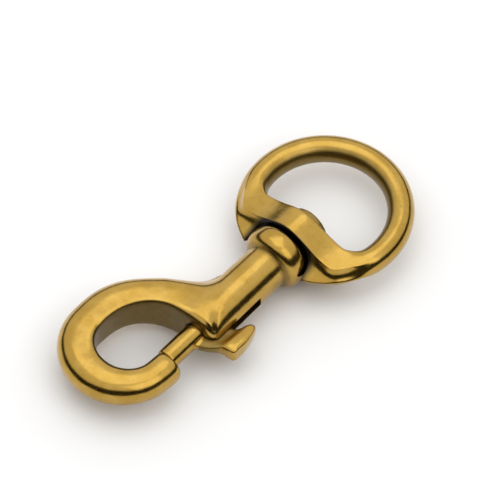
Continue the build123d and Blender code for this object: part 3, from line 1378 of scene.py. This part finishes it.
@dataclass
class SwivelRivet:
    """The swivel's rivet, with a turned head in the bore and a hammered one in the eye."""

    sides: int = 72
    shank: float = 3.56 * MM
    head: float = 4.9 * MM
    head_length: float = 1.4 * MM
    peen: float = 1.8 * MM
    rough: float = 0.12 * MM
    finish: BrassFinish = field(
        default_factory=lambda: BrassFinish("rivet_brass", Wear.PEENED, seed=1.1))

    def rings(self) -> list[tuple[float, float, float]]:
        """Give the rivet's profile, from its head to its hammered end.

        Returns:
            Its places along the axis, each with its radius and how ragged it is.
        """
        low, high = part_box("swivel_rivet")
        head_r, head_x = self.head / 2, low[0] + self.head_length
        peen_r, peen_x = high[2] - self.rough, high[0] - self.peen
        shank_r = self.shank / 2
        return [(low[0], head_r - 0.5 * MM, 0), (low[0], head_r - 0.15 * MM, 0),
                (low[0] + 0.15 * MM, head_r, 0), (head_x - 0.1 * MM, head_r, 0),
                (head_x, head_r - 0.1 * MM, 0), (head_x, shank_r + 0.1 * MM, 0),
                (head_x + 0.1 * MM, shank_r, 0), (peen_x - 0.4 * MM, shank_r, 0),
                (peen_x, shank_r, 0), (peen_x, shank_r + 0.4 * MM, 0),
                (peen_x + 0.01 * MM, peen_r - 0.5 * MM, 0.2),
                (peen_x + 0.15 * MM, peen_r - 0.05 * MM, 0.8),
                (peen_x + 0.9 * MM, peen_r + 0.1 * MM, 1.0),
                (peen_x + 1.5 * MM, peen_r + 0.05 * MM, 1.0),
                (peen_x + 1.8 * MM, peen_r - 0.2 * MM, 0.9),
                (peen_x + 1.98 * MM, peen_r - 0.7 * MM, 0.6),
                (peen_x + 2.03 * MM, peen_r - 1.6 * MM, 0.4),
                (peen_x + 2.06 * MM, peen_r - 2.8 * MM, 0.2)]

    def dullness_and_shade(self, place: Vector, normal: Vector) -> float:
        """Give the rivet's dullness and painted shade: black painted shade along its shank, and a
        little browner and rougher elsewhere.

        Args:
            place: a point of the rivet.
            normal: the way it faces there.

        Returns:
            0 for polished to 1 for black painted shade.
        """
        # Painted shade: black on the shank inside the eye's hole.
        if math.hypot(place.y, place.z) < self.shank / 2 + 0.2 * MM and normal.x < 0.5:
            return 1.0
        return 0.35

    def ragged(self, turn: float, phase: float) -> float:
        """Give the hammered rim's unevenness at an angle."""
        waves = ((5, 0.4), (9, 0.3), (14, 0.2), (23, 0.1))
        return sum(share * math.sin(count * turn + phase * count) for count, share in waves)

    def build(self) -> bpy.types.Object:
        """Turn the rivet and hammer its end over.

        Returns:
            The finished rivet.
        """
        loft = SkinLoft("swivel_rivet_peened", self.sides)
        for number, (x, radius, rag) in enumerate(self.rings()):
            points = []
            for step in range(self.sides):
                turn = FULL_TURN * step / self.sides
                reach = radius + rag * self.rough * self.ragged(turn, 0.35 * number)
                points.append(Vector((x, reach * math.cos(turn), reach * math.sin(turn))))
            loft.add(points)
        loft.cap_ends()
        piece = loft.finish(levels=1)
        shade(piece, angle=35)
        dress(piece, self.finish.material(), self.dullness_and_shade)
        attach(piece, "eye")
        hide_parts("swivel_rivet")
        LOG.info("swivel rivet: %d faces", len(piece.data.polygons))
        return piece


# ---- Studio ----------------------------------------------------------------------------------


@dataclass
class Studio:
    """Pale floor, soft light and the camera."""

    azimuth: float = -49.0
    elevation: float = 55.0
    lens: float = 1500.0
    frame_width: float = 107.5 * MM
    aim_right: float = -16.1 * MM
    aim_up: float = -8.4 * MM
    floor_side: float = 2.4
    floor_gap: float = 0.02 * MM
    floor_tone: float = 0.96
    floor_patch: float = 0.985
    floor_scale: float = 60
    floor_roughness: float = 0.7
    sky_level: float = 1.10
    sky_tones: tuple[tuple[float, float], ...] = (
        (0.0, 0.02), (0.36, 0.02), (0.43, 0.86), (0.6, 0.93), (1.0, 1.0))
    dark_card: float = 0.24

    def build(self) -> None:
        """Make the floor, the lights and the camera."""
        bpy.context.scene.view_settings.view_transform = "Standard"
        self.floor()
        self.sky()
        self.lamp("side_softbox", self.seen_from(turn=40.0, rise=48.0, distance=0.7),
                  size=0.50, power=0.65)
        self.lamp("top_softbox", (0.10, 0.12, 0.80), size=0.70, power=1.1)
        self.camera()

    def seen_from(self, turn: float, rise: float, distance: float) -> tuple[float, ...]:
        """Give a place round the object, turned from the camera's own side.

        Args:
            turn: degrees to the camera's right.
            rise: degrees above the floor.
            distance: how far it is from the object's origin.

        Returns:
            The place.
        """
        azimuth, elevation = math.radians(self.azimuth + turn), math.radians(rise)
        return (distance * math.cos(elevation) * math.sin(azimuth),
                -distance * math.cos(elevation) * math.cos(azimuth),
                distance * math.sin(elevation))

    def floor(self) -> None:
        """Lay the pale floor just under the object."""
        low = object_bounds()[0]
        bpy.ops.mesh.primitive_plane_add(size=self.floor_side,
                                         location=(0, 0, low[2] - self.floor_gap))
        floor = bpy.context.active_object
        floor.name = "floor"
        bpy.ops.object.transform_apply(location=True)
        board = NodeBoard("pale_floor", 0.0)
        pale = (self.floor_tone,) * 3
        patch = [self.floor_patch * part for part in pale]
        board.links.new(board.blend(board.noise(self.floor_scale, 3), pale, patch),
                        board.shader.inputs["Base Color"])
        board.shader.inputs["Roughness"].default_value = self.floor_roughness
        dress(floor, board.material)
        floor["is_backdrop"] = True

    def sky(self) -> None:
        """Light the room from above, with a dark band round the horizon, deepest in front."""
        world = bpy.data.worlds.new("studio")
        bpy.context.scene.world = world
        world.use_nodes = True
        nodes = world.node_tree.nodes
        links = world.node_tree.links
        place = nodes.new("ShaderNodeTexCoord")
        split = nodes.new("ShaderNodeSeparateXYZ")
        links.new(place.outputs["Generated"], split.inputs[0])
        toward = nodes.new("ShaderNodeVectorMath")
        toward.operation = "DOT_PRODUCT"
        links.new(place.outputs["Generated"], toward.inputs[0])
        toward.inputs[1].default_value = self.seen_from(0.0, 0.0, 1.0)
        lowered = nodes.new("ShaderNodeMath")
        lowered.operation = "MULTIPLY_ADD"
        lowered.inputs[1].default_value = -self.dark_card
        links.new(toward.outputs["Value"], lowered.inputs[0])
        links.new(split.outputs["Z"], lowered.inputs[2])
        tone = nodes.new("ShaderNodeValToRGB")
        stops = tone.color_ramp.elements
        for number, (position, value) in enumerate(self.sky_tones):
            stop = stops[number] if number < len(stops) else stops.new(position)
            stop.position = position
            stop.color = (value, value, value, 1)
        links.new(lowered.outputs[0], tone.inputs[0])
        links.new(tone.outputs[0], nodes["Background"].inputs["Color"])
        nodes["Background"].inputs["Strength"].default_value = self.sky_level

    def lamp(self, name: str, place: Sequence[float], size: float, power: float) -> None:
        """Hang a soft area lamp that looks at the object.

        Args:
            name: the lamp's name.
            place: where it hangs.
            size: the side of its square.
            power: its power in watts.
        """
        data = bpy.data.lights.new(name, "AREA")
        data.size = size
        data.energy = power
        lamp = bpy.data.objects.new(name, data)
        lamp.location = place
        lamp.rotation_euler = (-Vector(place)).to_track_quat("-Z", "Y").to_euler()
        bpy.context.collection.objects.link(lamp)

    def camera(self) -> None:
        """Set the long-lens camera at the object's three-quarter view."""
        data = bpy.data.cameras.new("camera")
        data.lens = self.lens
        camera = bpy.data.objects.new("camera", data)
        toward = Vector(self.seen_from(0.0, self.elevation, 1.0))
        distance = self.frame_width * data.lens / data.sensor_width
        turned = (-toward).to_track_quat("-Z", "Y")
        aim = turned @ Vector((self.aim_right, self.aim_up, 0))
        camera.location = aim + toward * distance
        camera.rotation_euler = turned.to_euler()
        data.clip_end = 2 * distance
        bpy.context.collection.objects.link(camera)
        bpy.context.scene.camera = camera


def main() -> None:
    """Build every piece in order around the frame."""
    logging.basicConfig(level=logging.INFO, format="%(message)s")
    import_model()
    HookCasting().build()
    SwivelEye().build()
    SlideBolt().build()
    BoltSpring().build()
    SwivelRivet().build()
    Studio().build()


if __name__ == "__main__":
    main()
